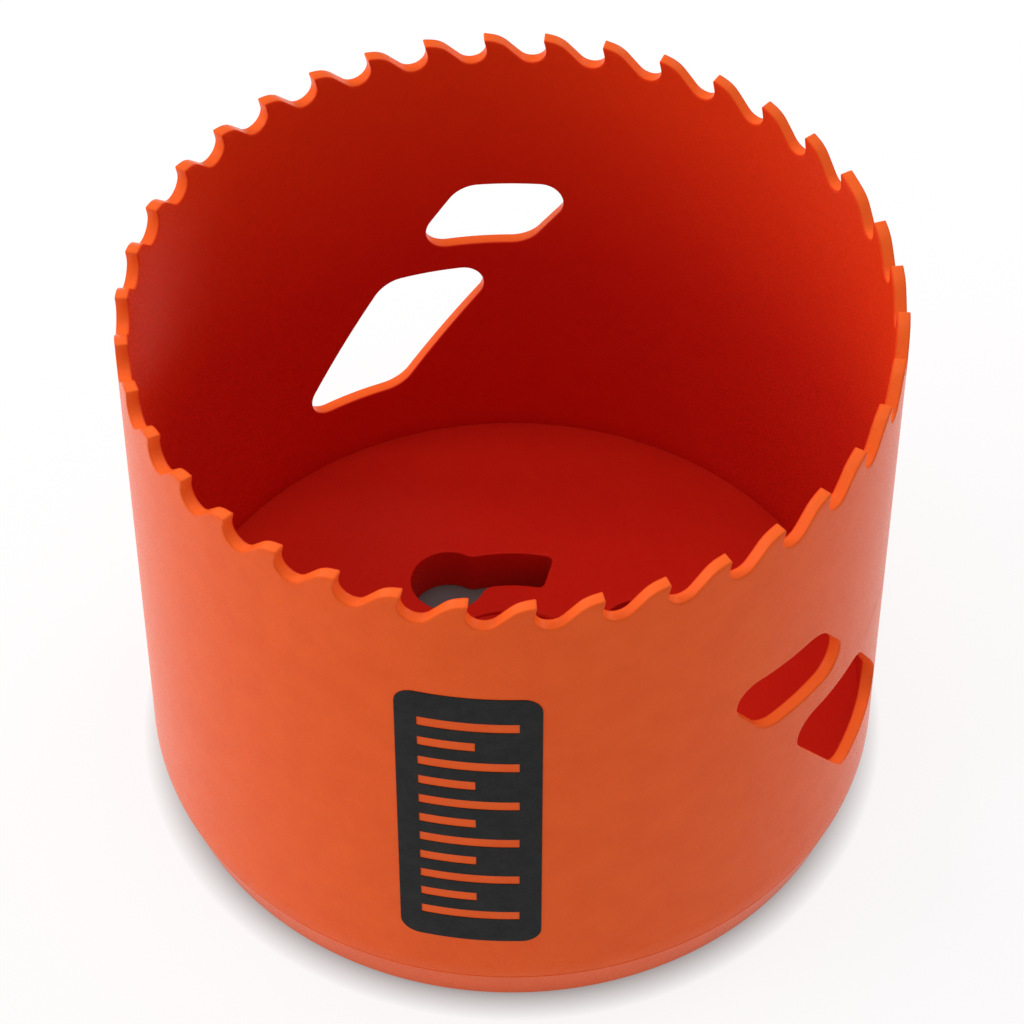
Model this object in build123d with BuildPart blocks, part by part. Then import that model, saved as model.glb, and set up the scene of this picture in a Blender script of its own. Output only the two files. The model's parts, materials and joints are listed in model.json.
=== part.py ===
from build123d import *

import os
from math import cos, degrees, radians, sin, tan

# Cup-shaped hole saw: a toothed steel band, closed by a butt joint and welded on a drilled end cap.
# Millimetres. Origin at the centre of the cap's underside, +Z towards the teeth.

# Cup
outer_diameter = 63.5
overall_height = 53.2
band_wall = 1.1

# Teeth, seen from outside with the tips pointing right (anticlockwise from above)
tooth_count = 38
gullet_depth = 2.55
gullet_radius = 1.3
rake_angle = 12.0
relief_angle = 12.0
rise_angle = 47.0
back_radius = 2.6
joint_land = 1.1  # extra band length in the one pitch that holds the butt joint
joint_direction = 22.8

# Slots that free the waste plug: a short high one and a long low one in each pair
pair_directions = (92.95, -44.45)
slot_width = 11.4
slot_slant = 35.3
slot_sharp_radius = 2.1
slot_blunt_radius = 3.2
high_slot_height = 7.3
high_slot_level = 32.5
low_slot_height = 14.1
low_slot_level = 18.85
low_slot_offset = 9.75  # along the band, from the high slot

# End cap
cap_thickness = 4.76
cap_foot_diameter = 61.0
cap_foot_chamfer = 0.6
thread_major_diameter = 15.875
thread_minor_diameter = 14.4
thread_lead_in = 0.1
keyhole_count = 4
keyhole_direction = 116.75
pin_circle_diameter = 25.6
pin_hole_diameter = 6.8
lock_slot_width = 3.75
lock_slot_sweep = 41.7
lock_slot_corner = 0.6
keyhole_neck_radius = 1.2

# Printed panel on the band
print_thickness = 0.06
panel_direction = -96.2
panel_width = 11.7
panel_height = 32.2
panel_level = 26.2
panel_corner = 1.6
mark_count = 11
mark_pitch = 2.5
mark_thickness = 1.1
long_mark = 8.1
short_mark = 4.6
marks_per_step = 2

# Worked out from the sizes above
outer_radius = outer_diameter / 2
inner_radius = outer_radius - band_wall
band_height = overall_height - cap_thickness
joint_angle = degrees(joint_land / outer_radius)
pitch_angle = (360 - joint_angle) / tooth_count
pin_circle_radius = pin_circle_diameter / 2

cut_clearance = 1.0  # how far each cutter stands out of what it cuts


def outward_plane(direction, distance, level):
    """Plane that faces outwards: local X runs anticlockwise round the cup, local Y runs up."""
    turn = radians(direction)
    outward = Vector(cos(turn), sin(turn), 0)
    return Plane(
        origin=outward * distance + Vector(0, 0, level),
        x_dir=(-sin(turn), cos(turn), 0),
        z_dir=outward,
    )


def meeting_point(first, first_angle, second, second_angle):
    """Point where two lines meet, each given by a point and its angle to local X."""
    run = Vector(cos(radians(first_angle)), sin(radians(first_angle)))
    across = Vector(-sin(radians(second_angle)), cos(radians(second_angle)))
    return first + run * ((second - first).dot(across) / run.dot(across))


def gullet_cutter(pitch):
    """One gullet's cutter, from tooth tip to tooth tip, on the +X side of the cup."""
    half_width = outer_radius * sin(radians(pitch / 2))
    tip = Vector(-half_width, 0)
    next_tip = Vector(half_width, 0)
    # The gullet circle touches the tooth face and the gullet's lowest level.
    rake = radians(rake_angle)
    rise = radians(rise_angle)
    face_run = (gullet_depth - gullet_radius * (1 + sin(rake))) / cos(rake)
    gullet_centre = tip + Vector(
        gullet_radius * cos(rake) - face_run * sin(rake),
        gullet_radius - gullet_depth,
    )
    rise_start = gullet_centre + Vector(sin(rise), -cos(rise)) * gullet_radius
    root = meeting_point(tip, 90 - rake_angle, rise_start, rise_angle)
    shoulder = meeting_point(next_tip, relief_angle, rise_start, rise_angle)
    above_tip = tip + Vector(tan(rake), 1) * cut_clearance * 2
    past_next_tip = next_tip + Vector(1, tan(radians(relief_angle))) * cut_clearance
    with BuildPart() as cutter:
        with BuildSketch(outward_plane(0, 0, overall_height)):
            with BuildLine():
                FilletPolyline(
                    above_tip, root, shoulder, past_next_tip, radius=(gullet_radius, back_radius)
                )
                Polyline(past_next_tip, (past_next_tip.X, above_tip.Y), above_tip)
            make_face()
        extrude(amount=outer_radius + cut_clearance)
    return cutter.part


def slot_section(direction, distance, level, height):
    """Rounded parallelogram whose sides stay radial: its width grows with the distance from the axis."""
    lean = tan(radians(slot_slant)) * height / 2

    def across(along_band):
        return distance * tan(along_band / outer_radius)

    with BuildSketch(outward_plane(direction, distance, level)) as section:
        with BuildLine():
            left = ThreePointArc(
                (across(-slot_width / 2 - lean), height / 2),
                (across(-slot_width / 2), 0),
                (across(-slot_width / 2 + lean), -height / 2),
            )
            right = ThreePointArc(
                (across(slot_width / 2 + lean), -height / 2),
                (across(slot_width / 2), 0),
                (across(slot_width / 2 - lean), height / 2),
            )
            Line(left @ 1, right @ 0)
            Line(right @ 1, left @ 0)
        make_face()
        for corner in (left @ 0, right @ 0):
            fillet(section.vertices().sort_by_distance(corner)[0], slot_sharp_radius)
        for corner in (left @ 1, right @ 1):
            fillet(section.vertices().sort_by_distance(corner)[0], slot_blunt_radius)
    return section.sketch


def slot_cutter(direction, level, height):
    """One slot's cutter, with walls that point at the axis."""
    with BuildPart() as cutter:
        loft(
            sections=[
                slot_section(direction, inner_radius - cut_clearance, level, height).face(),
                slot_section(direction, outer_radius + cut_clearance, level, height).face(),
            ],
            ruled=True,
        )
    return cutter.part


# Band: a ring with one cutter for each gullet and slot
gullet = gullet_cutter(pitch_angle)
joint_gullet = gullet_cutter(pitch_angle + joint_angle)
low_slot_turn = degrees(low_slot_offset / outer_radius)
with BuildPart() as saw_band:
    with BuildSketch(Plane.XY.offset(cap_thickness)):
        Circle(outer_radius)
        Circle(inner_radius, mode=Mode.SUBTRACT)
    extrude(amount=band_height + cut_clearance)
    with PolarLocations(
        0,
        tooth_count - 1,
        start_angle=joint_direction + joint_angle / 2 + pitch_angle,
        angular_range=(tooth_count - 1) * pitch_angle,
    ):
        add(gullet, mode=Mode.SUBTRACT)
    with Locations(Rotation(0, 0, joint_direction)):
        add(joint_gullet, mode=Mode.SUBTRACT)
    for direction in pair_directions:
        add(slot_cutter(direction, high_slot_level, high_slot_height), mode=Mode.SUBTRACT)
        add(slot_cutter(direction + low_slot_turn, low_slot_level, low_slot_height), mode=Mode.SUBTRACT)

# End cap: a turned disc whose rim tapers to the foot, with a threaded bore and keyholes
with BuildPart() as end_cap:
    with BuildSketch(Plane.XZ):
        with BuildLine():
            Polyline(
                (0, 0),
                (cap_foot_diameter / 2 - cap_foot_chamfer, 0),
                (cap_foot_diameter / 2, cap_foot_chamfer),
                (outer_radius, cap_thickness),
                (0, cap_thickness),
                close=True,
            )
        make_face()
    revolve(axis=Axis.Z)
    Hole(thread_minor_diameter / 2)
    bore_mouths = end_cap.edges().filter_by(GeomType.CIRCLE)
    bore_mouths = bore_mouths.filter_by(lambda edge: edge.radius < thread_major_diameter / 2)
    chamfer(bore_mouths, (thread_major_diameter - thread_minor_diameter) / 2 + thread_lead_in)
    with BuildSketch() as keyhole:
        with BuildLine():
            outer_arc = CenterArc(
                (0, 0), pin_circle_radius + lock_slot_width / 2, keyhole_direction, -lock_slot_sweep
            )
            inner_arc = CenterArc(
                (0, 0), pin_circle_radius - lock_slot_width / 2, keyhole_direction, -lock_slot_sweep
            )
            Line(outer_arc @ 0, inner_arc @ 0)
            Line(outer_arc @ 1, inner_arc @ 1)
        make_face()
        for corner in (outer_arc @ 1, inner_arc @ 1):
            fillet(keyhole.vertices().sort_by_distance(corner)[0], lock_slot_corner)
        hole_centre = Vector(pin_circle_radius, 0).rotate(Axis.Z, keyhole_direction)
        with Locations(hole_centre):
            Circle(pin_hole_diameter / 2)
        fillet(keyhole.vertices().sort_by_distance(hole_centre)[:2], keyhole_neck_radius)
    with PolarLocations(0, keyhole_count):
        add(extrude(keyhole.sketch, amount=cap_thickness, mode=Mode.PRIVATE), mode=Mode.SUBTRACT)

# Printed panel: a black field that leaves a plain depth scale in the band's own colour
with BuildPart() as print_panel:
    with BuildSketch(outward_plane(panel_direction, 0, panel_level)):
        RectangleRounded(panel_width, panel_height, panel_corner)
        for step in range(mark_count):
            mark_length = short_mark if step % marks_per_step else long_mark
            mark_level = (step - (mark_count - 1) / 2) * mark_pitch
            with Locations(((mark_length - long_mark) / 2, mark_level)):
                Rectangle(mark_length, mark_thickness, mode=Mode.SUBTRACT)
    extrude(amount=outer_radius + cut_clearance)
    with BuildSketch(Plane.XY) as skin:
        Circle(outer_radius + print_thickness)
        Circle(outer_radius, mode=Mode.SUBTRACT)
    extrude(skin.sketch, amount=overall_height, mode=Mode.INTERSECT)

os.makedirs("parts", exist_ok=True)
saw_band.part.label = "saw_band"
export_step(saw_band.part, "parts/saw_band.step")
end_cap.part.label = "end_cap"
export_step(end_cap.part, "parts/end_cap.step")
print_panel.part.label = "print_panel"
export_step(print_panel.part, "parts/print_panel.step")
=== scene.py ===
"""Hole saw: paint, rounded edges, arbor thread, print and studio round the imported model.

Laid out as a Blender add-on and run as a script. Lengths in the code are metres.
"""
import json

import bmesh
import bpy
import numpy as np
from bpy.props import FloatProperty, FloatVectorProperty, IntProperty, PointerProperty
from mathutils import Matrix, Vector


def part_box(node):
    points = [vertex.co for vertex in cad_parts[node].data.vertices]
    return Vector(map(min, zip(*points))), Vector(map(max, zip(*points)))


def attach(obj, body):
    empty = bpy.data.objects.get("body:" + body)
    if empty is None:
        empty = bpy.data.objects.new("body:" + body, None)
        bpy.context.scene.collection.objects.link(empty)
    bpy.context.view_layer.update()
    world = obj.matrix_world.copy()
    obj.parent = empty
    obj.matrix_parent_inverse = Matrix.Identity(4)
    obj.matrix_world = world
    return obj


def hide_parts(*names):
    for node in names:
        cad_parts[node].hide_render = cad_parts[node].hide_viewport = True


bl_info = {
    "name": "Hole Saw",
    "version": (1, 0, 0),
    "blender": (4, 5, 0),
    "location": "View3D > Sidebar > Hole Saw",
    "description": "Builds the painted surfaces, thread, print and studio of a hole saw",
    "category": "Object",
}

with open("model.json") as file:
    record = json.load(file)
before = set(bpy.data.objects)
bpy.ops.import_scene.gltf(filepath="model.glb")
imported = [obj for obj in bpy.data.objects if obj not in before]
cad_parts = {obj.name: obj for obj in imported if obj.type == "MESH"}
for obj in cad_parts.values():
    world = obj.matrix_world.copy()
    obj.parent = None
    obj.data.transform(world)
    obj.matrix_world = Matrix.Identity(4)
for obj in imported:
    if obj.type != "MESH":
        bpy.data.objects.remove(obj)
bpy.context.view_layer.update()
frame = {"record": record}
band_low, band_high = (Vector(corner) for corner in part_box("saw_band"))
cap_low, cap_high = (Vector(corner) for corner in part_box("end_cap"))
mounts = {mount["name"]: mount["dims"] for mount in frame["record"]["mounts"]}

MM = 0.001
TURN = 2 * np.pi

# Fineness of the meshes
EDGE_POINTS = 4  # across each rounded edge
RING_LINES = 7  # from a window's outline to its block's border
RING_GROWTH = 1.6  # keeps the rings narrow at the outline
BAND_CELL = 2.2 * MM  # tallest cell of the band below its teeth
TOOTH_ROWS = 8  # lines that fan out from the plain band into the teeth
TIP_LAG = 0.36  # share of a pitch from a tooth's first column to its tip
CAP_CELL = 0.8 * MM  # widest ring of cells on the cap
CAP_COLUMNS = 401  # lines round the cap
BORE_LINES = 58  # down the threaded bore
PRINT_CELL = (0.4 * MM, 1.2 * MM)  # largest cell of the print: width and height
JOIN_DISTANCE = 0.0005 * MM  # points that lie closer are joined
SHARP_ANGLE = np.radians(38)  # edges that turn further stay sharp
LARGE_FACE_WEIGHT = 80  # above 50, large faces count for more in the shading


# ---------------------------------------------------------------- sizes and colours
def length(name, text, millimetres):
    """A length property, shown in scene units."""
    return FloatProperty(name=name, description=text, default=millimetres * MM, min=0,
                         subtype="DISTANCE", unit="LENGTH", precision=5)


def angle(name, text, degrees):
    """An angle property."""
    return FloatProperty(name=name, description=text, default=np.radians(degrees),
                         subtype="ANGLE", unit="ROTATION")


def colour(name, text, rgb):
    """A linear colour property."""
    return FloatVectorProperty(name=name, description=text, default=rgb, size=3, min=0, max=1,
                               subtype="COLOR")


def power(name, text, watts):
    """A light's power as a property."""
    return FloatProperty(name=name, description=text, default=watts, min=0,
                         subtype="POWER", unit="POWER")


def strength(name, text, value):
    """A property for a strength without a unit."""
    return FloatProperty(name=name, description=text, default=value, min=0)


class BandSizes(bpy.types.PropertyGroup):
    """Toothed band: wall, teeth and slots."""

    radius: length("Outer radius", "Outer radius of the cup", band_high.x / MM)
    wall: length("Wall", "Thickness of the steel strip", 1.1)
    edge: length("Edge", "Radius that the paint gives to each edge", 0.11)
    teeth: IntProperty(name="Teeth", description="Number of teeth", default=38, min=3)
    tip_radius: length("Tip radius", "Radius that the paint gives to a tooth's tip", 0.12)
    gullet_depth: length("Gullet depth", "From the tooth tips to the gullet floor", 2.55)
    gullet_radius: length("Gullet radius", "Radius of the gullet floor", 1.3)
    back_radius: length("Back radius", "Radius of the bend in each tooth's back", 2.6)
    rake: angle("Rake", "Lean of the tooth face", 12)
    relief: angle("Relief", "Slope of the land behind the tip", 12)
    rise: angle("Rise", "Slope from the gullet to the land", 47)
    joint_land: length("Joint land", "Extra length of the pitch that holds the butt joint", 1.1)
    joint_at: angle("Joint direction", "Where the butt joint lies", 22.8)
    tooth_zone: length("Tooth zone", "Depth of the zone that fans out into the teeth", 5.0)
    slot_width: length("Slot width", "Width of a slot along the band", 11.4)
    slot_slant: angle("Slot slant", "Lean of the slots", 35.3)
    sharp_corner: length("Sharp corner", "Radius in the slots' sharp corners", 2.1)
    blunt_corner: length("Blunt corner", "Radius in the slots' blunt corners", 3.2)
    slot_margin: length("Slot margin", "Width of the fitted cells round a slot", 2.2)
    high_height: length("High slot height", "Height of the upper slots", 7.3)
    high_level: length("High slot level", "Middle of the upper slots", 32.5)
    low_height: length("Low slot height", "Height of the lower slots", 14.1)
    low_level: length("Low slot level", "Middle of the lower slots", 18.85)
    low_offset: length("Low slot offset", "From an upper slot to its lower one", 9.75)
    back_pair: angle("Back pair", "Direction of the back pair's upper slot", 92.95)
    front_pair: angle("Front pair", "Direction of the front pair's upper slot", -44.45)


class CapSizes(bpy.types.PropertyGroup):
    """End cap: rim, bore, thread and keyholes."""

    edge: length("Edge", "Radius that the paint gives to each edge", 0.12)
    foot_radius: length("Foot radius", "Radius at the foot of the tapered rim", 30.5)
    foot_chamfer: length("Foot chamfer", "Chamfer at the foot", 0.6)
    bore_radius: length("Bore radius", "Minor radius of the arbor thread",
                        mounts["arbor_thread"]["r_mm"])
    thread_radius: length("Thread radius", "Major radius of the arbor thread", 7.9375)
    thread_pitch: length("Thread pitch", "Rise of the arbor thread in a turn", 1.411)
    lead_in: length("Lead in", "How far the bore's mouth opens past the thread", 0.1)
    keyholes: IntProperty(name="Keyholes", description="Number of keyholes", min=1,
                          default=mounts["drive_pin_holes"]["count"])
    keyhole_at: angle("Keyhole direction", "Direction of the first pin hole", 116.75)
    pin_circle: length("Pin circle", "Radius of the circle of pin holes",
                       mounts["drive_pin_holes"]["pcd_mm"] / 2)
    pin_hole: length("Pin hole", "Radius of a pin hole", mounts["drive_pin_holes"]["hole_r_mm"])
    lock_width: length("Lock slot width", "Width of the curved slot", 3.75)
    lock_sweep: angle("Lock slot sweep", "Angle from the pin hole to the slot's end", 41.7)
    lock_corner: length("Lock slot corner", "Radius in the slot's end corners", 0.6)
    neck: length("Neck", "Radius where the slot leaves the pin hole", 1.2)
    keyhole_margin: length("Keyhole margin", "Width of the fitted cells round a keyhole", 1.5)


class PrintSizes(bpy.types.PropertyGroup):
    """Printed panel: a rounded field with a plain depth scale left out of it."""

    thickness: length("Thickness", "Thickness of the print", 0.06)
    direction: angle("Direction", "Where the panel lies on the band", -96.2)
    width: length("Width", "Width round the band", 11.7)
    height: length("Height", "Height of the panel", 32.2)
    level: length("Level", "Middle of the panel", 26.2)
    corner: length("Corner", "Radius of the panel's corners", 1.6)
    marks: IntProperty(name="Marks", description="Number of marks in the scale", default=11, min=1)
    mark_pitch: length("Mark pitch", "Distance from mark to mark", 2.5)
    mark_thickness: length("Mark thickness", "Thickness of a mark", 1.1)
    long_mark: length("Long mark", "Length of each second mark", 8.1)
    short_mark: length("Short mark", "Length of the marks between", 4.6)


class Finish(bpy.types.PropertyGroup):
    """Colours and gloss of the paint and the print, and the studio's light."""

    paint: colour("Paint", "Orange powder coat", (0.83, 0.112, 0.017))
    paint_cloud: colour("Paint cloud", "Orange powder coat where it lies thicker",
                        (0.76, 0.090, 0.014))
    # Painted light: the cut faces of teeth and slots are coloured brighter than the outer coat, as
    # they face up to the lamps.
    lit_cut_face: colour("Cut face", "Thin coat on the cut faces of teeth and slots",
                     (0.95, 0.132, 0.022))
    # Painted shade: the coat inside the cup is coloured darker and redder than outside, and darker
    # still deeper down.
    shaded_inside_top: colour("Inside top", "Powder coat inside the cup, near the teeth",
                       (0.86, 0.055, 0.009))
    shaded_inside_deep: colour("Inside deep", "Powder coat deep in the cup, where it pools",
                        (0.69, 0.019, 0.010))
    coat_gloss: strength("Coat gloss", "Strength of the powder coat's reflections", 0.042)
    ink: colour("Ink", "Black print", (0.010, 0.0105, 0.0105))
    ink_worn: colour("Worn ink", "Black print where it lies thin", (0.017, 0.0165, 0.016))
    ink_gloss: strength("Ink gloss", "Strength of the print's reflections", 0.12)
    floor: colour("Floor", "Light table that the cup stands on", (0.15, 0.15, 0.15))
    floor_glow: strength("Floor glow", "Light that the table gives off", 0.83)
    room_light: strength("Room light", "Even light from all round", 0.44)
    left: power("Left light", "Power of the tall soft light on the left", 5.15)
    back_left: power("Back left light", "Power of the soft light behind, on the left", 1.5)
    back_right: power("Back right light", "Power of the soft light behind, on the right", 2.7)
    top: power("Top light", "Power of the soft light above", 1.8)


# ---------------------------------------------------------------- outlines in the plane
def arc(centre, radius, start, end, count):
    """Points on a circle: centre + radius * (cos a, sin a), a running evenly from start to end."""
    a = np.linspace(start, end, count)
    return np.asarray(centre) + radius * np.c_[np.cos(a), np.sin(a)]


def nearest_turn(target, start):
    """The angle equal to target that lies nearest to start."""
    return start + (target - start + np.pi) % TURN - np.pi


def heading(vector):
    """The angle of a vector to the first axis."""
    return np.arctan2(vector[1], vector[0])


def corner_arc(before, corner, after, radius, count):
    """The round that touches both sides of a corner: its centre lies on the bisector."""
    to_before = (before - corner) / np.linalg.norm(before - corner)
    to_after = (after - corner) / np.linalg.norm(after - corner)
    half = np.arccos(to_before @ to_after) / 2
    bisector = (to_before + to_after) / np.linalg.norm(to_before + to_after)
    centre = corner + bisector * radius / np.sin(half)
    first = heading(corner + to_before * radius / np.tan(half) - centre)
    last = heading(corner + to_after * radius / np.tan(half) - centre)
    return arc(centre, radius, first, nearest_turn(last, first), count)


def between(start, end, parts):
    """The points that divide a straight run into equal parts, without its ends."""
    return np.linspace(start, end, parts + 1)[1:-1]


def resample(path, count):
    """The points that divide a path into count equal runs, without the last one."""
    run = np.r_[0, np.cumsum(np.linalg.norm(np.diff(path, axis=0), axis=1))]
    at = np.linspace(0, run[-1], count + 1)[:-1]
    return np.c_[np.interp(at, run, path[:, 0]), np.interp(at, run, path[:, 1])]


def set_back(path, distance, repeat=0.0):
    """The path moved to its right by a distance, with mitred corners, and closed.

    The path closes on itself, or repeats after a run of repeat along the first axis. At each point
    the move is (n1 + n2) / (1 + n1 . n2), from the normals of the two sides that meet there.
    """
    following = np.roll(path, -1, axis=0)
    following[-1, 0] += repeat
    step = following - path
    normal = np.c_[step[:, 1], -step[:, 0]] / np.linalg.norm(step, axis=1)[:, None]
    before = np.roll(normal, 1, axis=0)
    mitre = (normal + before) / (1 + (normal * before).sum(1))[:, None]
    moved = path + mitre * distance
    return np.concatenate([moved, moved[:1] + (repeat, 0)])


def lines_through(stops, step):
    """Grid lines that pass through every stop and lie at most a step apart between them."""
    runs = [np.linspace(a, b, int(np.ceil((b - a) / step)) + 1)[:-1]
            for a, b in zip(stops, stops[1:])]
    return np.r_[np.concatenate(runs), stops[-1]]


# ---------------------------------------------------------------- sheets and rims
class Sheet:
    """Points and the quads between them, gathered grid by grid."""

    def __init__(self):
        self.points = []
        self.quads = []
        self.count = 0

    def add_grid(self, grid, keep=None):
        """Adds a grid of points, shape (rows, columns, axes), with the cells that keep marks."""
        rows, columns = grid.shape[:2]
        index = self.count + np.arange(rows * columns).reshape(rows, columns)
        cells = np.stack([index[:-1, :-1], index[:-1, 1:], index[1:, 1:], index[1:, :-1]], -1)
        quads = cells.reshape(-1, 4) if keep is None else cells[keep]
        self.add(grid.reshape(rows * columns, -1), quads)

    def add(self, points, quads):
        """Adds points, and quads that already count from the first point of the sheet."""
        self.points.append(points)
        self.quads.append(quads)
        self.count += len(points)

    def arrays(self):
        """All points and all quads."""
        return np.concatenate(self.points), np.concatenate(self.quads)


def windowed_sheet(columns, rows, windows, edge):
    """A flat grid on the given lines, with rings of cells fitted round each window.

    A window is (low, high, sides): its block's corners, and its outline in four paths,
    anticlockwise from the lower left. Ring k lies between the outline, set back by the edge
    radius, and the block's border, at the share (k / last ring) ** RING_GROWTH of the way.
    Gives the sheet and the outlines.
    """
    sheet = Sheet()
    keep = np.ones((len(rows) - 1, len(columns) - 1), bool)
    share = (np.linspace(0, 1, RING_LINES) ** RING_GROWTH)[:, None, None]
    outlines = []
    for low, high, sides in windows:
        left, right = (int(np.abs(columns - x).argmin()) for x in (low[0], high[0]))
        bottom, top = (int(np.abs(rows - y).argmin()) for y in (low[1], high[1]))
        keep[bottom:top, left:right] = False
        across, up = columns[left:right + 1], rows[bottom:top + 1]
        border = np.concatenate([
            np.c_[across[:-1], np.full(right - left, up[0])],
            np.c_[np.full(top - bottom, across[-1]), up[:-1]],
            np.c_[across[:0:-1], np.full(right - left, up[-1])],
            np.c_[np.full(top - bottom, across[0]), up[:0:-1]],
            [(across[0], up[0])],
        ])
        counts = (right - left, top - bottom) * 2
        outline = np.concatenate([resample(side, n) for side, n in zip(sides, counts)])
        inner = set_back(outline, edge)
        sheet.add_grid(inner + (border - inner) * share)
        outlines.append(outline)
    sheet.add_grid(np.stack(np.meshgrid(columns, rows), -1), keep)
    return sheet, outlines


def rim(path, edge, depth, repeat=0.0):
    """The rim of a plate along a path, from one face to the other, with both edges rounded.

    Gives a grid of (x, y, depth below the first face). For a from 0 to a quarter turn, the
    set-back is edge * (1 - sin a) and the depth below the nearer face is edge * (1 - cos a).
    """
    a = np.linspace(0, np.pi / 2, EDGE_POINTS)
    back, down = edge * (1 - np.sin(a)), edge * (1 - np.cos(a))
    across = zip(np.r_[back, back[::-1]], np.r_[down, depth - down[::-1]])
    lines = [(set_back(path, b, repeat), d) for b, d in across]
    return np.stack([np.c_[line, np.full(len(line), d)] for line, d in lines])


def both_faces(flat, depth):
    """A flat sheet laid on both faces of a plate, as one sheet of (x, y, depth)."""
    points, quads = flat.arrays()
    plate = Sheet()
    for level in (0.0, depth):
        plate.add(np.c_[points, np.full(len(points), level)], quads + plate.count)
    return plate


# ---------------------------------------------------------------- objects
def add_object(name, data):
    """A new object in the current collection."""
    added = bpy.data.objects.new(name, data)
    bpy.context.collection.objects.link(added)
    return added


def make_piece(name, points, quads, material, slot_name, *replaced):
    """Makes a piece at the origin: joins its seams, turns its faces out, and hands it over."""
    mesh = bpy.data.meshes.new(name)
    mesh.from_pydata(points.tolist(), [], quads.tolist())
    work = bmesh.new()
    work.from_mesh(mesh)
    bmesh.ops.remove_doubles(work, verts=work.verts, dist=JOIN_DISTANCE)
    bmesh.ops.recalc_face_normals(work, faces=work.faces)
    work.to_mesh(mesh)
    work.free()
    mesh.materials.append(material)
    piece = add_object(name, mesh)
    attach(piece, "root")
    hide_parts(*replaced)
    return piece


def shade_rounded(piece):
    """Shades a piece smoothly. Large faces have the say, so only the rounds next to them bend."""
    piece.data.shade_smooth()
    piece.data.set_sharp_from_angle(angle=SHARP_ANGLE)
    weighted = piece.modifiers.new("weighted_normals", "WEIGHTED_NORMAL")
    weighted.keep_sharp = True
    weighted.weight = LARGE_FACE_WEIGHT


# ---------------------------------------------------------------- toothed band
def tooth_profile(size, pitch):
    """One pitch, from tip to tip: rounded tip, face, round gullet, rise, bend and land.

    Gives (along the band, height above the sharp tip), up to where the next tip's round starts.
    """
    radius = size.gullet_radius
    face_run = (size.gullet_depth - radius * (1 + np.sin(size.rake))) / np.cos(size.rake)
    face_end = -face_run * np.array([np.sin(size.rake), np.cos(size.rake)])
    centre = face_end + radius * np.array([np.cos(size.rake), -np.sin(size.rake)])
    gullet = arc(centre, radius, np.pi - size.rake, 1.5 * np.pi + size.rise, count=12)
    # The shoulder is where the rise meets the land that slopes down behind the next tip.
    rise_slope, land_slope = np.tan(size.rise), np.tan(size.relief)
    next_tip = np.array([pitch, 0.0])
    run = ((gullet[-1, 0] - pitch) * land_slope - gullet[-1, 1]) / (rise_slope - land_slope)
    shoulder = gullet[-1] + run * np.array([1, rise_slope])
    bend = corner_arc(gullet[-1], shoulder, next_tip, size.back_radius, count=6)
    tip = corner_arc(shoulder - next_tip, np.zeros(2), face_end, size.tip_radius, count=4)
    face = between(tip[-1], face_end, parts=2)
    climb = between(gullet[-1], bend[0], parts=2)
    land = between(bend[-1], tip[0] + next_tip, parts=3)
    return np.concatenate([tip, face, gullet, climb, bend, land])


def slot_sides(size, middle, level, height):
    """A slot's outline in four paths, anticlockwise from the lower left.

    It is a leaning parallelogram whose level sides carry all four rounds.
    """
    lean = np.tan(size.slot_slant) * height / 2
    half = size.slot_width / 2
    corners = np.array([
        (middle - half + lean, level - height / 2),
        (middle + half + lean, level - height / 2),
        (middle + half - lean, level + height / 2),
        (middle - half - lean, level + height / 2),
    ])
    radii = (size.blunt_corner, size.sharp_corner) * 2
    lower_left, lower_right, upper_right, upper_left = (
        corner_arc(corners[k - 1], corners[k], corners[(k + 1) % 4], radii[k], count=24)
        for k in range(4))
    return [
        np.concatenate([lower_left, lower_right]),
        np.array([lower_right[-1], upper_right[0]]),
        np.concatenate([upper_right, upper_left]),
        np.array([upper_left[-1], lower_left[0]]),
    ]


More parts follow.
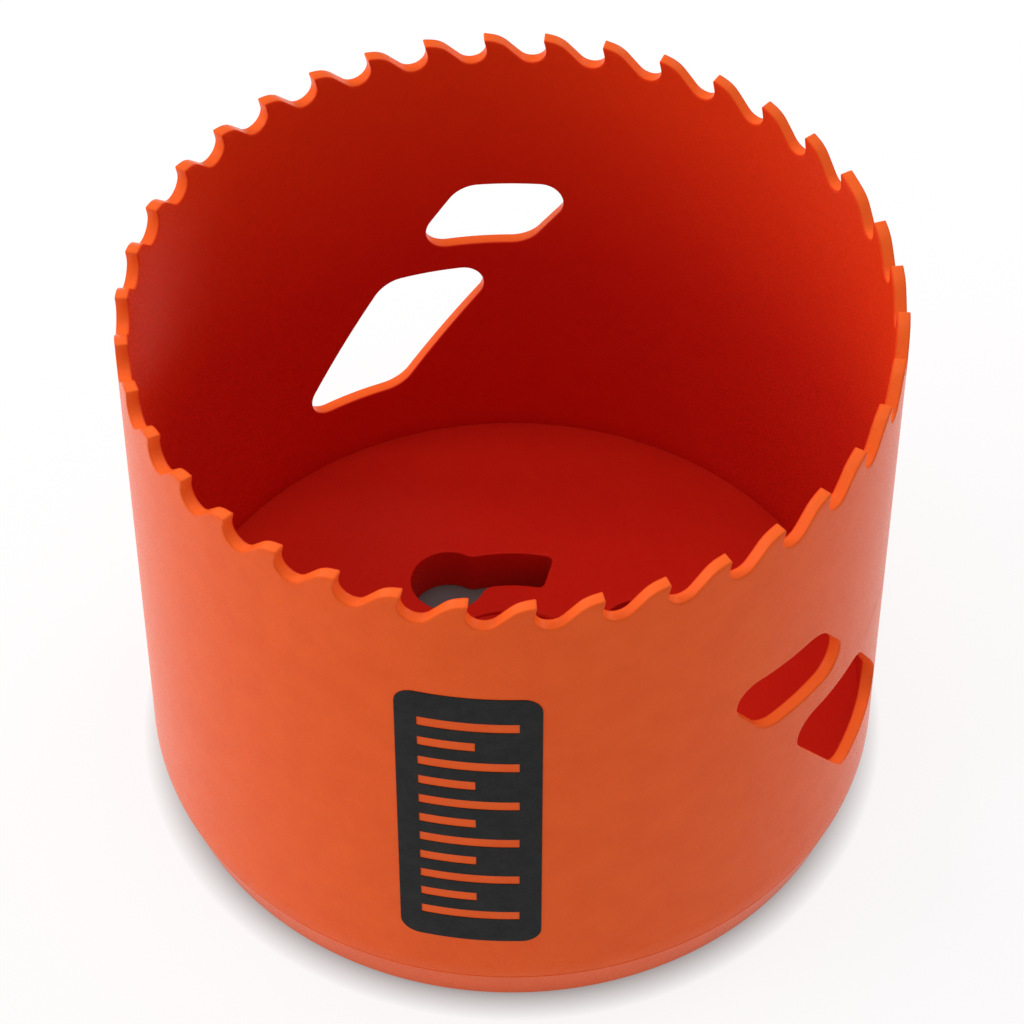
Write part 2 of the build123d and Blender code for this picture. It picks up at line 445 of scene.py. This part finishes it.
def band_surface(size):
    """The whole band: one flat sheet laid on both faces, its rims, and all of it rolled up.

    (along, level, depth) goes to the angle along / radius, the height level and the distance
    radius - depth from the axis.
    """
    around = TURN * size.radius
    foot, top = band_low.z, band_high.z
    pitch = (around - size.joint_land) / size.teeth
    wide_pitch = pitch + size.joint_land
    pitches = np.r_[np.full(size.teeth - 1, pitch), wide_pitch]
    tips = size.joint_at * size.radius + wide_pitch / 2 + np.r_[0, np.cumsum(pitches)[:-1]]
    crest = np.concatenate([tooth_profile(size, p) + (t, top) for t, p in zip(tips, pitches)])

    # Under the teeth the columns lie evenly, from a little behind each tip.
    per_tooth = len(crest) // size.teeth
    share = np.arange(per_tooth) / per_tooth
    first = tips - TIP_LAG * pitch
    columns = np.concatenate([start + share * p for start, p in zip(first, pitches)])
    columns = np.r_[columns, columns[0] + around]

    low_bottom = size.low_level - size.low_height / 2 - size.slot_margin
    low_top = size.low_level + size.low_height / 2
    high_bottom = size.high_level - size.high_height / 2
    high_top = size.high_level + size.high_height / 2 + size.slot_margin
    parting = (low_top + high_bottom) / 2
    zone_foot = top - size.tooth_zone
    rows = lines_through([foot + size.edge, low_bottom, parting, high_top, zone_foot], BAND_CELL)

    windows = []
    for pair in (size.back_pair, size.front_pair):
        for offset, level, height, low, high in (
                (0.0, size.high_level, size.high_height, parting, high_top),
                (size.low_offset, size.low_level, size.low_height, low_bottom, parting)):
            middle = pair * size.radius + offset
            reach = size.slot_width / 2 + np.tan(size.slot_slant) * height / 2 + size.slot_margin
            middle += around * np.ceil((columns[0] + reach - middle) / around)
            windows.append(((middle - reach, low), (middle + reach, high),
                            slot_sides(size, middle, level, height)))
    flat, outlines = windowed_sheet(columns, rows, windows, size.edge)

    lower = np.c_[columns, np.full(len(columns), rows[-1])]
    upper = set_back(crest, size.edge, around)
    flat.add_grid(lower + (upper - lower) * np.linspace(0, 1, TOOTH_ROWS)[:, None, None])

    band = both_faces(flat, size.wall)
    for outline in outlines:
        band.add_grid(rim(outline, size.edge, size.wall))
    band.add_grid(rim(crest, size.edge, size.wall, around))
    foot_line = np.c_[columns, np.full(len(columns), foot)][:0:-1]
    band.add_grid(rim(foot_line, size.edge, size.wall, -around))
    points, quads = band.arrays()
    turn, distance = points[:, 0] / size.radius, size.radius - points[:, 2]
    return np.c_[distance * np.cos(turn), distance * np.sin(turn), points[:, 1]], quads


# ---------------------------------------------------------------- end cap
def keyhole_sides(size):
    """A keyhole's outline in four paths, anticlockwise in (angle * pin circle, radius).

    Its pin hole lies at angle 0 and its slot runs towards lower angles. Each neck's round touches
    a slot arc and the pin hole, so its centre follows from the triangle of axis, hole centre and
    neck centre.
    """
    hole = np.array([size.pin_circle, 0.0])
    inner, outer = (size.pin_circle + side * size.lock_width / 2 for side in (-1, 1))
    end = -size.lock_sweep

    def neck(ring):
        """A neck round's centre on a ring, its direction, and its heading to the pin hole."""
        reach = size.pin_hole + size.neck
        turn = np.arccos((ring ** 2 + size.pin_circle ** 2 - reach ** 2)
                         / (2 * ring * size.pin_circle))
        centre = ring * np.array([np.cos(turn), -np.sin(turn)])
        return centre, -turn, heading(hole - centre)

    def end_round(ring):
        """The centre on a ring of a round that touches the slot's end, and its direction."""
        turn = end + np.arcsin(size.lock_corner / ring)
        return ring * np.array([np.cos(turn), np.sin(turn)]), turn

    neck_in, in_turn, in_touch = neck(inner - size.neck)
    neck_out, out_turn, out_touch = neck(outer + size.neck)
    end_in, end_in_turn = end_round(inner + size.lock_corner)
    end_out, end_out_turn = end_round(outer - size.lock_corner)
    wall = end - np.pi / 2
    far = np.pi / 5  # the far side of the pin hole lies between this angle and its mirror image
    inner_side = np.concatenate([
        arc(end_in, size.lock_corner, wall, nearest_turn(end_in_turn - np.pi, wall), count=8),
        arc((0, 0), inner, end_in_turn, in_turn, count=30),
        arc(neck_in, size.neck, in_turn, nearest_turn(in_touch, in_turn), count=10),
        arc(hole, size.pin_hole, in_touch + np.pi, np.pi - far, count=24),
    ])
    outer_side = np.concatenate([
        arc(hole, size.pin_hole, far, nearest_turn(out_touch + np.pi, 0), count=24),
        arc(neck_out, size.neck, out_touch, nearest_turn(out_turn + np.pi, out_touch), count=10),
        arc((0, 0), outer, out_turn, end_out_turn, count=30),
        arc(end_out, size.lock_corner, end_out_turn, nearest_turn(wall, end_out_turn), count=8),
    ])
    sides = [
        inner_side,
        arc(hole, size.pin_hole, np.pi - far, far, count=40),
        outer_side,
        np.array([outer_side[-1], inner_side[0]]),
    ]
    return [np.c_[np.arctan2(side[:, 1], side[:, 0]) * size.pin_circle, np.hypot(*side.T)]
            for side in sides]


def rim_profile(size, radius, thickness):
    """The cap's rim as (radius, height): rounded seam, taper, chamfer and rounded foot."""
    line = np.array([
        (0, thickness),
        (radius, thickness),
        (size.foot_radius, size.foot_chamfer),
        (size.foot_radius - size.foot_chamfer, 0),
        (0, 0),
    ])
    return np.concatenate([corner_arc(line[k - 1], line[k], line[k + 1], size.edge, count=5)
                           for k in (1, 2, 3)])


def bore_mouth(size):
    """Radius of the bore's mouth on the cap's faces, where the round into its cone starts."""
    return size.thread_radius + size.lead_in + np.tan(np.pi / 8) * size.edge


def bore_grid(size, turns, thickness):
    """The threaded bore as (angle * pin circle, radius, depth).

    The thread is a groove with flanks at 30 degrees to the level: its radius is the major radius
    plus sqrt(3) * (pitch / 16 - distance from the groove's middle), held between minor and major.
    A cone at 45 degrees opens each mouth, and a round of the edge radius leads into it.
    """
    mouth = size.thread_radius + size.lead_in
    start = size.edge * (1 - np.cos(np.linspace(0, np.pi / 4, EDGE_POINTS)))
    round_depth = start[-1]
    depth = np.r_[start[:-1], np.linspace(round_depth, thickness - round_depth, BORE_LINES),
                  thickness - start[-2::-1]]
    turn, depth = np.meshgrid(turns, depth)
    inside = np.minimum(depth, thickness - depth)
    phase = (depth / size.thread_pitch + turn / size.pin_circle / TURN) % 1
    from_groove = np.abs(phase - 0.5) * size.thread_pitch
    thread = np.clip(size.thread_radius + np.sqrt(3) * (size.thread_pitch / 16 - from_groove),
                     size.bore_radius, size.thread_radius)
    reach = np.sqrt(np.maximum(size.edge ** 2 - (size.edge - inside) ** 2, 0))
    lead = bore_mouth(size) - reach
    cone = np.maximum(thread, mouth - inside)
    return np.stack([turn, np.where(inside < round_depth, lead, cone), depth], -1)


def cap_surface(size, radius):
    """The whole cap: a windowed sheet for each face, keyhole rims, turned rim and bore.

    (along, distance, depth) goes to the angle along / pin circle, the distance from the axis and
    the height of the cap's top minus depth.
    """
    thickness = cap_high.z - cap_low.z
    sides = keyhole_sides(size)
    outline = np.concatenate(sides)
    margin = size.keyhole_margin
    clear = np.radians(25)  # from the first keyhole's slot back to the line where sheets close
    start = (size.keyhole_at - size.lock_sweep - clear) * size.pin_circle
    columns = start + np.linspace(0, TURN * size.pin_circle, CAP_COLUMNS)
    inner_line = bore_mouth(size)
    low_stop = (inner_line + outline[:, 1].min()) / 2
    high_stop = outline[:, 1].max() + margin
    profile = rim_profile(size, radius, thickness)

    windows = []
    for k in range(size.keyholes):
        shift = (size.keyhole_at + k * TURN / size.keyholes) * size.pin_circle
        windows.append(((outline[:, 0].min() - margin + shift, low_stop),
                        (outline[:, 0].max() + margin + shift, high_stop),
                        [side + (shift, 0) for side in sides]))
    cap = Sheet()
    for depth, outermost in ((0.0, profile[0, 0]), (thickness, profile[-1, 0])):
        rows = lines_through([inner_line, low_stop, high_stop, outermost], CAP_CELL)
        flat, outlines = windowed_sheet(columns, rows, windows, size.edge)
        points, quads = flat.arrays()
        cap.add(np.c_[points, np.full(len(points), depth)], quads + cap.count)
    for outline in outlines:
        cap.add_grid(rim(outline, size.edge, thickness))
    turn, k = np.meshgrid(columns, np.arange(len(profile)))
    cap.add_grid(np.stack([turn, profile[k, 0], thickness - profile[k, 1]], -1))
    cap.add_grid(bore_grid(size, columns, thickness))
    points, quads = cap.arrays()
    turn = points[:, 0] / size.pin_circle
    return np.c_[points[:, 1] * np.cos(turn), points[:, 1] * np.sin(turn),
                 cap_high.z - points[:, 2]], quads


# ---------------------------------------------------------------- print
def print_surface(size, radius):
    """The printed panel as a grid on the band, without the cells that the marks leave open.

    Near its ends, the half width is width / 2 - corner + sqrt(corner^2 - rise^2), where rise is
    how far a row lies past the start of the corners.
    """
    half_mark = size.mark_thickness / 2
    levels = (np.arange(size.marks) - (size.marks - 1) / 2) * size.mark_pitch
    straight = size.height / 2 - size.corner
    stops = np.sort(np.r_[-straight, levels - half_mark, levels + half_mark, straight])
    quarter = np.linspace(0, np.pi / 2, 9)[1:]
    end = straight + size.corner * np.sin(quarter)
    cell_width, cell_height = PRINT_CELL
    rows = np.r_[-end[::-1], lines_through(stops, cell_height), end]
    left = -size.long_mark / 2
    stops = [-size.width / 2, left, left + size.short_mark, size.long_mark / 2, size.width / 2]
    columns = lines_through(stops, cell_width)
    along, level = np.meshgrid(columns, rows)
    rise = np.maximum(np.abs(level) - straight, 0)
    half = size.width / 2 - size.corner + np.sqrt(np.maximum(size.corner ** 2 - rise ** 2, 0))
    turn = size.direction + along * half / (size.width / 2) / radius
    points = np.stack([radius * np.cos(turn), radius * np.sin(turn), size.level + level], -1)

    middle_along = (columns[:-1] + columns[1:]) / 2
    middle_level = (rows[:-1] + rows[1:]) / 2
    keep = np.ones((len(rows) - 1, len(columns) - 1), bool)
    for step, mark in enumerate(levels):
        long = size.short_mark if step % 2 else size.long_mark
        in_row = np.abs(middle_level - mark) < half_mark
        in_column = (middle_along > left) & (middle_along < left + long)
        keep &= ~(in_row[:, None] & in_column)
    sheet = Sheet()
    sheet.add_grid(points, keep)
    return sheet.arrays()


# ---------------------------------------------------------------- materials
NOISE_MIDDLE = (0.35, 0.65)  # holds most values of a noise
NOISE_WIDE = (0.3, 0.7)  # holds nearly all of them

# Powder coat
COAT_GRAIN = 0.2 * MM
COAT_GRAIN_DEPTH = 0.03 * MM
COAT_PEEL = 1.1 * MM
COAT_PEEL_DEPTH = 0.035 * MM
COAT_PATCH = 3 * MM
COAT_ROUGHNESS = (0.19, 0.32)
PATCH_SHARE = 0.45  # of the clouds, from broad patches; the rest is grain
DEEP_SHADE_SHARE = 0.85  # of the painted shade deep in the cup, the share from the depth in the cup; the rest follows the clouds
CUT_DEPTHS = (0.03 * MM, 0.2 * MM)  # between which the outer coat gives way to the cut faces
INSIDE_DEPTHS = (0.9 * MM, 1.07 * MM)  # between which the cut faces give way to the inside
FOOT_HEIGHTS = (0.1 * MM, 0.5 * MM)  # between which the underside's outer coat ends

# Ink
INK_GRAIN = 0.22 * MM
INK_GRAIN_DEPTH = 0.01 * MM
INK_PATCH = 1.6 * MM
INK_THINNING = (0.4, 0.7)  # noise values between which the ink grows thin
INK_ROUGHNESS = (0.55, 0.7)

# Light table
TABLE_ROUGHNESS = 0.9
# Painted shadow: the table's glow is held off under the cup and ramps up in a ring round its foot.
PAINTED_SHADOW_EDGE = (-2 * MM, 2.5 * MM)  # from the cup's foot to where the glow starts and is full


class Nodes:
    """A material's node tree, with short calls for the few nodes that the finishes use."""

    def __init__(self, name):
        self.material = bpy.data.materials.new(name)
        self.material.use_nodes = True
        self.tree = self.material.node_tree
        self.shader = self.tree.nodes["Principled BSDF"]
        self.place = self.tree.nodes.new("ShaderNodeTexCoord").outputs["Object"]

    def link(self, output, to):
        """Links an output to an input."""
        self.tree.links.new(output, to)

    def noise(self, grain, detail=2.0, roughness=0.5):
        """Noise whose features are about grain metres across."""
        node = self.tree.nodes.new("ShaderNodeTexNoise")
        node.inputs["Scale"].default_value = 1 / grain
        node.inputs["Detail"].default_value = detail
        node.inputs["Roughness"].default_value = roughness
        self.link(self.place, node.inputs["Vector"])
        return node.outputs["Fac"]

    def spread(self, value, low, high, to_low, to_high):
        """Maps the range low to high on to_low to to_high."""
        node = self.tree.nodes.new("ShaderNodeMapRange")
        self.link(value, node.inputs["Value"])
        for name, number in zip(("From Min", "From Max", "To Min", "To Max"),
                                (low, high, to_low, to_high)):
            node.inputs[name].default_value = number
        return node.outputs["Result"]

    def rgb(self, value):
        """A linear colour."""
        node = self.tree.nodes.new("ShaderNodeRGB")
        node.outputs["Color"].default_value = (*value, 1)
        return node.outputs["Color"]

    def mix(self, share, first, second):
        """Mixes two colours by a share."""
        node = self.tree.nodes.new("ShaderNodeMixRGB")
        for name, value in (("Fac", share), ("Color1", first), ("Color2", second)):
            self.link(value, node.inputs[name])
        return node.outputs["Color"]

    def maths(self, operation, first, second):
        """A sum, a difference or a product of two values."""
        node = self.tree.nodes.new("ShaderNodeMath")
        node.operation = operation
        self.link(first, node.inputs[0])
        self.link(second, node.inputs[1])
        return node.outputs["Value"]

    def from_axis(self):
        """Distance from the cup's axis."""
        flatten = self.tree.nodes.new("ShaderNodeVectorMath")
        flatten.operation = "MULTIPLY"
        flatten.inputs[1].default_value = (1, 1, 0)
        self.link(self.place, flatten.inputs[0])
        node = self.tree.nodes.new("ShaderNodeVectorMath")
        node.operation = "LENGTH"
        self.link(flatten.outputs["Vector"], node.inputs[0])
        return node.outputs["Value"]

    def height(self):
        """Height above the floor."""
        node = self.tree.nodes.new("ShaderNodeSeparateXYZ")
        self.link(self.place, node.inputs["Vector"])
        return node.outputs["Z"]

    def bump(self, height, depth, below=None):
        """Bumps the normal by a height in the range 0 to 1 that stands for depth metres."""
        node = self.tree.nodes.new("ShaderNodeBump")
        node.inputs["Distance"].default_value = depth
        self.link(height, node.inputs["Height"])
        if below is not None:
            self.link(below, node.inputs["Normal"])
        return node.outputs["Normal"]


def powder_coat(name, finish, radius, cap):
    """Satin powder coat: soft orange peel, fine grain, and clouds where the coat lies thicker.

    Its colour follows the depth below the cup's outer surface, which tapers to the foot: the cut
    faces within the wall are painted brighter as painted light, and the inside is painted redder
    and darker as painted shade, most of all deep in the cup.
    """
    nodes = Nodes(name)
    grain = nodes.noise(COAT_GRAIN, detail=3, roughness=0.6)
    patches = nodes.noise(COAT_PATCH, detail=4)
    clouds = nodes.maths("ADD", nodes.spread(patches, *NOISE_MIDDLE, 0, PATCH_SHARE),
                         nodes.spread(grain, *NOISE_MIDDLE, 0, 1 - PATCH_SHARE))
    outside = nodes.mix(clouds, nodes.rgb(finish.paint), nodes.rgb(finish.paint_cloud))
    height = nodes.height()
    # Painted shade: the inside grows darker with depth in the cup, mixed with some of the clouds.
    deep_shade_and_clouds = nodes.spread(height, band_high.z, band_high.z / 2, 0, DEEP_SHADE_SHARE)
    deep_shade_and_clouds = nodes.maths("ADD", deep_shade_and_clouds, nodes.spread(clouds, 0, 1, 0, 1 - DEEP_SHADE_SHARE))
    inside = nodes.mix(deep_shade_and_clouds, nodes.rgb(finish.shaded_inside_top), nodes.rgb(finish.shaded_inside_deep))
    surface = nodes.spread(height, cap.foot_chamfer, cap_high.z, cap.foot_radius, radius)
    above_foot = nodes.spread(height, *FOOT_HEIGHTS, 0, 1)
    depth = nodes.maths("MULTIPLY", above_foot,
                        nodes.maths("SUBTRACT", surface, nodes.from_axis()))
    # Painted light: the cut faces within the wall take the brighter colour.
    cut_face_light_mask = nodes.spread(depth, *CUT_DEPTHS, 0, 1)
    in_cup = nodes.spread(depth, *INSIDE_DEPTHS, 0, 1)
    shade = nodes.mix(cut_face_light_mask, outside, nodes.rgb(finish.lit_cut_face))
    nodes.link(nodes.mix(in_cup, shade, inside), nodes.shader.inputs["Base Color"])
    roughness = nodes.spread(grain, *NOISE_WIDE, *COAT_ROUGHNESS)
    nodes.link(roughness, nodes.shader.inputs["Roughness"])
    peel = nodes.bump(nodes.noise(COAT_PEEL), COAT_PEEL_DEPTH)
    nodes.link(nodes.bump(grain, COAT_GRAIN_DEPTH, peel), nodes.shader.inputs["Normal"])
    nodes.shader.inputs["Specular IOR Level"].default_value = finish.coat_gloss
    return nodes.material


def matt_ink(name, finish):
    """Matt screen ink: thin and thick patches, and the grain of the coat below showing through."""
    nodes = Nodes(name)
    patches = nodes.noise(INK_PATCH, detail=4, roughness=0.6)
    patches = nodes.spread(patches, *INK_THINNING, 0, 1)
    shade = nodes.mix(patches, nodes.rgb(finish.ink), nodes.rgb(finish.ink_worn))
    nodes.link(shade, nodes.shader.inputs["Base Color"])
    grain = nodes.noise(INK_GRAIN, detail=3, roughness=0.6)
    roughness = nodes.spread(grain, *NOISE_WIDE, *INK_ROUGHNESS)
    nodes.link(roughness, nodes.shader.inputs["Roughness"])
    nodes.link(nodes.bump(grain, INK_GRAIN_DEPTH), nodes.shader.inputs["Normal"])
    nodes.shader.inputs["Specular IOR Level"].default_value = finish.ink_gloss
    return nodes.material


def light_table(name, finish, foot_radius):
    """Plain pale light table. It gives off no light under the cup, and its glow ramps up from
    there to a little past the foot, a painted contact shadow.
    """
    nodes = Nodes(name)
    nodes.shader.inputs["Base Color"].default_value = (*finish.floor, 1)
    nodes.shader.inputs["Roughness"].default_value = TABLE_ROUGHNESS
    nodes.shader.inputs["Emission Color"].default_value = (1, 1, 1, 1)
    low, high = (foot_radius + step for step in PAINTED_SHADOW_EDGE)
    # Painted contact shadow: no glow under the cup, rising to full a little past the foot.
    glow = nodes.spread(nodes.from_axis(), low, high, 0, finish.floor_glow)
    nodes.link(glow, nodes.shader.inputs["Emission Strength"])
    return nodes.material


# ---------------------------------------------------------------- studio
FLOOR_REACH = 3.0  # metres from the cup to each side of the table
CAMERA_PLACE = (0, -0.22205, 0.28528)
CAMERA_TARGET = (0, 0, 0.02755)
CAMERA_LENS = 141.43  # millimetres
CAMERA_SENSOR = 36.0  # millimetres
CAMERA_CLIP = 0.01  # metres to the nearest thing that shows


def aim(place, target):
    """The rotation that looks from a place at a target."""
    return (Vector(target) - Vector(place)).to_track_quat("-Z", "Y").to_euler()


def soft_light(name, watts, direction, elevation, width, height):
    """A softbox a metre from the cup, at a direction and an elevation in degrees, facing it."""
    middle = Vector((0, 0, band_high.z / 2))
    turn, lift = np.radians(direction), np.radians(elevation)
    away = Vector((np.cos(lift) * np.cos(turn), np.cos(lift) * np.sin(turn), np.sin(lift)))
    lamp = bpy.data.lights.new(name, "AREA")
    lamp.shape = "RECTANGLE"
    lamp.size, lamp.size_y = width, height
    lamp.energy = watts
    light = add_object(name, lamp)
    light.location = middle + away
    light.rotation_euler = aim(light.location, middle)


def lay_floor(material):
    """The table: one square, level with the cup's foot."""
    reach = FLOOR_REACH
    corners = [(-reach, -reach, 0), (reach, -reach, 0), (reach, reach, 0), (-reach, reach, 0)]
    mesh = bpy.data.meshes.new("studio_floor")
    mesh.from_pydata(corners, [], [(0, 1, 2, 3)])
    mesh.materials.append(material)
    add_object("studio_floor", mesh)


def light_room(scene, finish):
    """Even light from all round, and four softboxes."""
    world = bpy.data.worlds.new("studio_light")
    world.use_nodes = True
    background = world.node_tree.nodes["Background"]
    background.inputs["Color"].default_value = (1, 1, 1, 1)
    background.inputs["Strength"].default_value = finish.room_light
    scene.world = world
    scene.view_settings.view_transform = "Standard"
    soft_light("left_softbox", finish.left, direction=182, elevation=32, width=0.6, height=0.9)
    soft_light("back_left_softbox", finish.back_left, direction=132, elevation=25,
               width=0.5, height=0.6)
    soft_light("back_right_softbox", finish.back_right, direction=45, elevation=28,
               width=0.5, height=0.6)
    soft_light("top_softbox", finish.top, direction=0, elevation=90, width=0.55, height=0.55)


def place_camera(scene):
    """The scene's camera, aimed at the middle of the cup."""
    camera = bpy.data.cameras.new("camera")
    camera.sensor_width = CAMERA_SENSOR
    camera.lens = CAMERA_LENS
    camera.clip_start = CAMERA_CLIP
    view = add_object("camera", camera)
    view.location = CAMERA_PLACE
    view.rotation_euler = aim(CAMERA_PLACE, CAMERA_TARGET)
    scene.camera = view


# ---------------------------------------------------------------- operators
class HOLESAW_OT_band(bpy.types.Operator):
    """Build the painted toothed band"""

    bl_idname = "hole_saw.band"
    bl_label = "Toothed Band"

    def execute(self, context):
        scene = context.scene
        size = scene.hole_saw_band
        points, quads = band_surface(size)
        paint = powder_coat("band_powder_coat", scene.hole_saw_finish, size.radius,
                            scene.hole_saw_cap)
        shade_rounded(make_piece("painted_band", points, quads, paint, "band", "saw_band"))
        return {"FINISHED"}


class HOLESAW_OT_cap(bpy.types.Operator):
    """Build the painted end cap with its arbor thread and keyholes"""

    bl_idname = "hole_saw.cap"
    bl_label = "End Cap"

    def execute(self, context):
        scene = context.scene
        size, radius = scene.hole_saw_cap, scene.hole_saw_band.radius
        points, quads = cap_surface(size, radius)
        paint = powder_coat("cap_powder_coat", scene.hole_saw_finish, radius, size)
        shade_rounded(make_piece("painted_cap", points, quads, paint, "cap", "end_cap"))
        return {"FINISHED"}


class HOLESAW_OT_print(bpy.types.Operator):
    """Build the printed depth scale"""

    bl_idname = "hole_saw.print"
    bl_label = "Printed Scale"

    def execute(self, context):
        scene = context.scene
        size = scene.hole_saw_print
        points, quads = print_surface(size, scene.hole_saw_band.radius)
        ink = matt_ink("black_ink", scene.hole_saw_finish)
        piece = make_piece("printed_scale", points, quads, ink, "print", "print_panel")
        skin = piece.modifiers.new("print_thickness", "SOLIDIFY")
        skin.thickness = size.thickness
        skin.offset = 1
        return {"FINISHED"}


class HOLESAW_OT_studio(bpy.types.Operator):
    """Build the floor, the soft lights and the camera"""

    bl_idname = "hole_saw.studio"
    bl_label = "Studio"

    def execute(self, context):
        scene = context.scene
        finish = scene.hole_saw_finish
        lay_floor(light_table("light_table", finish, scene.hole_saw_cap.foot_radius))
        light_room(scene, finish)
        place_camera(scene)
        return {"FINISHED"}


class HOLESAW_PT_panel(bpy.types.Panel):
    """Lists the sizes, the colours and the steps that build the hole saw"""

    bl_idname = "HOLESAW_PT_panel"
    bl_label = "Hole Saw"
    bl_space_type = "VIEW_3D"
    bl_region_type = "UI"
    bl_category = "Hole Saw"

    def draw(self, context):
        for label, group_name, step in STEPS:
            box = self.layout.box()
            box.operator(step.bl_idname, text=label)
            group = getattr(context.scene, group_name)
            for name in group.__annotations__:
                box.prop(group, name)


STEPS = (
    ("Toothed Band", "hole_saw_band", HOLESAW_OT_band),
    ("End Cap", "hole_saw_cap", HOLESAW_OT_cap),
    ("Printed Scale", "hole_saw_print", HOLESAW_OT_print),
    ("Studio", "hole_saw_finish", HOLESAW_OT_studio),
)
GROUPS = {
    "hole_saw_band": BandSizes,
    "hole_saw_cap": CapSizes,
    "hole_saw_print": PrintSizes,
    "hole_saw_finish": Finish,
}
CLASSES = (*GROUPS.values(), *(step for _, _, step in STEPS), HOLESAW_PT_panel)


def register():
    for item in CLASSES:
        bpy.utils.register_class(item)
    for name, group in GROUPS.items():
        setattr(bpy.types.Scene, name, PointerProperty(type=group))


def unregister():
    for name in GROUPS:
        delattr(bpy.types.Scene, name)
    for item in reversed(CLASSES):
        bpy.utils.unregister_class(item)


def main():
    """Registers the add-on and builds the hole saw."""
    register()
    bpy.ops.hole_saw.band()
    bpy.ops.hole_saw.cap()
    bpy.ops.hole_saw.print()
    bpy.ops.hole_saw.studio()


if __name__ == "__main__":
    main()
